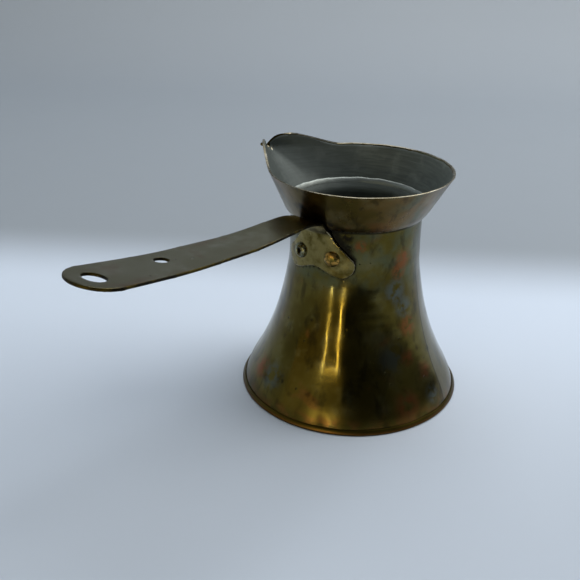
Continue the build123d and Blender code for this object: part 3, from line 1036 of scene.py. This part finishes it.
def paper():
    """Matt pale paper, painted lighter where it lies flat round the pot, with painted shade where it
    rises behind and towards the front.
    """
    finish = Finish("pale_paper")
    turn = finish.node("ShaderNodeMapping")
    finish.join(finish.place, turn.inputs["Vector"])
    turn.inputs["Rotation"].default_value[2] = -CAMERA_SIDE
    split = finish.node("ShaderNodeSeparateXYZ")
    finish.join(turn.outputs["Vector"], split.inputs["Vector"])
    nearness = split.outputs["X"]
    # Painted shade: the wall behind is darker than the paper by the pot, and the paper towards the front
    # is darker as well.
    behind = finish.mix(finish.between(nearness, -0.9, -0.55), PAPER_WALL_FAR, PAPER_WALL)
    flat = finish.mix(finish.between(nearness, -0.08, 0.12), PAPER_BY_POT, PAPER_FRONT)
    colour = finish.mix(finish.between(nearness, -0.175, -0.085), behind, flat)
    finish.relief((finish.cloud(3 * MM, 3), 0.02 * MM))
    return finish.set(colour, finish.spread(finish.cloud(40 * MM), 0.75, 0.85), 0.0)


def add_light(name, angle, reach, height, size, power, colour, aim):
    """Flat soft light in the room, turned towards a place on the pot."""
    data = bpy.data.lights.new(name, "AREA")
    data.shape = "RECTANGLE"
    data.size, data.size_y = size
    data.energy = power
    data.color = colour
    lamp = bpy.data.objects.new(name, data)
    lamp.location = reach * room_direction(angle) + height * UP
    lamp.rotation_mode = "QUATERNION"
    lamp.rotation_quaternion = (Vector(aim) - lamp.location).to_track_quat("-Z", "Y")
    bpy.context.scene.collection.objects.link(lamp)
    return lamp


def make_floor():
    """Floor that ends not far in front of the pot, and rises into a curved wall behind it."""
    bm = bmesh.new()
    near, far, half, curve = 0.37, -1.0, 1.1, 0.35
    spots = [bm.verts.new((near, side, 0)) for side in (-half, half)]
    edge = bm.edges.new(spots)
    run = [(0.06, 0), (-0.25, 0), (-0.6, 0)]
    for turn in steps(0, math.pi / 2, 12):
        run.append((far + curve - curve * math.sin(turn), curve - curve * math.cos(turn)))
    run.append((far, 1.3))
    for reach, height in run:
        made = bmesh.ops.extrude_edge_only(bm, edges=[edge])["geom"]
        new_verts = {item for item in made if isinstance(item, bmesh.types.BMVert)}
        for vert in new_verts:
            vert.co.x, vert.co.z = reach, height
        made_edges = [item for item in made if isinstance(item, bmesh.types.BMEdge)]
        edge = next(item for item in made_edges if new_verts.issuperset(item.verts))
    bmesh.ops.rotate(bm, verts=bm.verts, cent=(0, 0, 0), matrix=Matrix.Rotation(CAMERA_SIDE, 3, "Z"))
    bmesh.ops.recalc_face_normals(bm, faces=bm.faces)
    mesh = bpy.data.meshes.new("floor")
    bm.to_mesh(mesh)
    bm.free()
    mesh.shade_smooth()
    mesh.materials.append(paper())
    floor = bpy.data.objects.new("floor", mesh)
    bpy.context.scene.collection.objects.link(floor)


def make_card(name, angle, reach, width, height, brightness):
    """Upright pale card beside the pot, for the metal to reflect. The camera doesn't see it."""
    bm = bmesh.new()
    bmesh.ops.create_grid(bm, x_segments=2, y_segments=2, size=0.5)
    facing = room_direction(angle)
    turn = facing.to_track_quat("Z", "Y").to_matrix().to_4x4()
    middle = Matrix.Translation(reach * facing + (height / 2) * UP)
    place = middle @ turn @ Matrix.Diagonal((width, height, 1, 1))
    bmesh.ops.transform(bm, matrix=place, verts=bm.verts)
    mesh = bpy.data.meshes.new(name)
    bm.to_mesh(mesh)
    bm.free()
    finish = Finish(name)
    finish.relief((finish.cloud(10 * MM), 0.02 * MM))
    duller = shade(*(0.97 * part for part in brightness[:3]))
    colour = finish.mix(finish.cloud(200 * MM), brightness, duller)
    mesh.materials.append(finish.set(colour, 0.9, 0.0))
    card = bpy.data.objects.new(name, mesh)
    card.visible_camera = False
    card.visible_shadow = False
    bpy.context.scene.collection.objects.link(card)


def make_world():
    """Faint cool light from all round."""
    world = bpy.data.worlds.new("room")
    world.use_nodes = True
    background = world.node_tree.nodes["Background"]
    background.inputs["Color"].default_value = shade(0.75, 0.85, 1.0)
    background.inputs["Strength"].default_value = 0.09
    bpy.context.scene.world = world


def make_camera():
    """Looks down on the pot from beside the handle."""
    pan, pitch, roll = math.radians(-4.88), math.radians(25.58), math.radians(0.79)
    across, ahead = math.sin(pan) * math.cos(pitch), math.cos(pan) * math.cos(pitch)
    forward = Vector((across, ahead, -math.sin(pitch)))
    level = Vector((math.cos(pan), -math.sin(pan), 0))
    upward = level.cross(forward)
    right = math.cos(roll) * level + math.sin(roll) * upward
    top = math.cos(roll) * upward - math.sin(roll) * level
    turn = Matrix.Rotation(CAMERA_SIDE + math.pi / 2, 3, "Z")
    data = bpy.data.cameras.new("camera")
    data.sensor_width = 36
    data.lens = 50.1
    data.clip_start, data.clip_end = 0.01, 20
    camera = bpy.data.objects.new("camera", data)
    basis = Matrix((turn @ right, turn @ top, -(turn @ forward))).transposed().to_4x4()
    camera.matrix_world = Matrix.Translation(turn @ Vector((0, -0.3314, 0.2023))) @ basis
    bpy.context.scene.collection.objects.link(camera)
    bpy.context.scene.camera = camera


def clothe_packed_parts():
    """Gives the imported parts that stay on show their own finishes."""
    for node, finish in (("base_solder", "soft_solder"), ("tin_lining_floor", "wiped_tin")):
        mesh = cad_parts[node].data
        mesh.materials.clear()
        mesh.materials.append(bpy.data.materials[finish])


def light_room():
    """Dim room with a soft ceiling, a card on either side and a narrow window's two bright edges."""
    left_card, right_card = shade(0.6, 0.66, 0.72), shade(0.24, 0.26, 0.28)
    make_card("card_left", math.radians(-105), 0.9, 1.1, 1.0, left_card)
    make_card("card_right", math.radians(92), 0.9, 1.7, 1.0, right_card)
    lights = [
        ("side_light", 105, 1.0, 0.9, (0.8, 0.8), 7, (1.0, 0.98, 0.95), AXIS_FOOT),
        ("ceiling_light", 155, 0.6, 1.3, (1.4, 1.4), 15.5, (0.95, 0.97, 1.0), AXIS_FOOT),
        ("window_left", -32.5, 1.2, 0.015, (0.014, 0.53), 1.1, (1.0, 0.88, 0.60), AXIS_LOW),
        ("window_right", -14.5, 1.2, 0.015, (0.020, 0.53), 1.5, (1.0, 0.84, 0.50), AXIS_LOW),
        ("window_top", -23, 1.2, 0.272, (0.30, 0.02), 0.3, (1.0, 0.84, 0.52), AXIS_LOW),
        ("warm_room", -42, 1.4, 0.25, (1.9, 1.2), 2.8, (1.0, 0.85, 0.45), AXIS_LOW),
    ]
    for name, degrees, reach, height, size, power, colour, aim in lights:
        add_light(name, math.radians(degrees), reach, height, size, power, colour, aim)


make_camera()
make_world()
make_floor()
light_room()
make_bell_wall()
make_base_pan()
make_collar()
make_collar_tin()
make_bowl_tin()
make_neck_solder()
domed_brass = rivet_brass("rivet_gold", GOLD, OLIVE)
make_rivet("rivet_domed_head", "rivet_domed", DOMED_HEAD, 0.10, domed_brass)
eyelet_brass = rivet_brass("rivet_green", RIVET_GREEN, OLIVE_DARK)
make_rivet("rivet_eyelet_head", "rivet_eyelet", EYELET_HEAD, 0.06, eyelet_brass)
make_handle()
clothe_packed_parts()
bpy.context.scene.view_settings.view_transform = "Standard"
